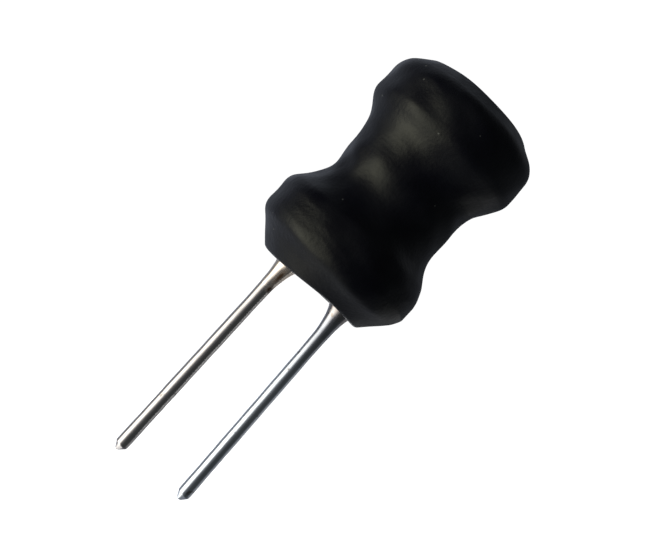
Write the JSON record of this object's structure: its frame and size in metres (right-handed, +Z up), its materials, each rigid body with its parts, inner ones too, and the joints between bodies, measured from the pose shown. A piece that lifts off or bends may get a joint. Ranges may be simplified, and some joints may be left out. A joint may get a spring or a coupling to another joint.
{
  "type": "radial inductor",
  "caption": "Radial inductor: ferrite drum core wound with enamelled copper wire, under a black heat-shrink sleeve, with pointed tinned leads for through-hole soldering.",
  "frame": {"origin": "on the core's axis, in the plane of the sleeve's lower lip, which is the seat on a board", "axes": "+Z up the core's axis, away from the leads; +X from the first lead to the second"},
  "size_m": [0.007, 0.007, 0.0193],
  "materials": {
    "ferrite": "pressed, sintered and ground, dark grey",
    "enamelled_wire": "clear amber enamel over drawn copper",
    "tinned_lead": "drawn wire with a bright tin coat",
    "adhesive": "cured clear amber epoxy",
    "solder": "bright, frozen from the melt",
    "sleeve": "satin black, extruded and heat-shrunk"
  },
  "bodies": {
    "root": {"drum_core": "ferrite", "winding": "enamelled_wire", "start_tail": "enamelled_wire", "finish_tail": "enamelled_wire", "lead_1": "tinned_lead", "lead_2": "tinned_lead", "pin_adhesive_1": "adhesive", "pin_adhesive_2": "adhesive", "solder_joint_1": "solder", "solder_joint_2": "solder", "heat_shrink_sleeve": "sleeve"}
  },
  "joints": []
}
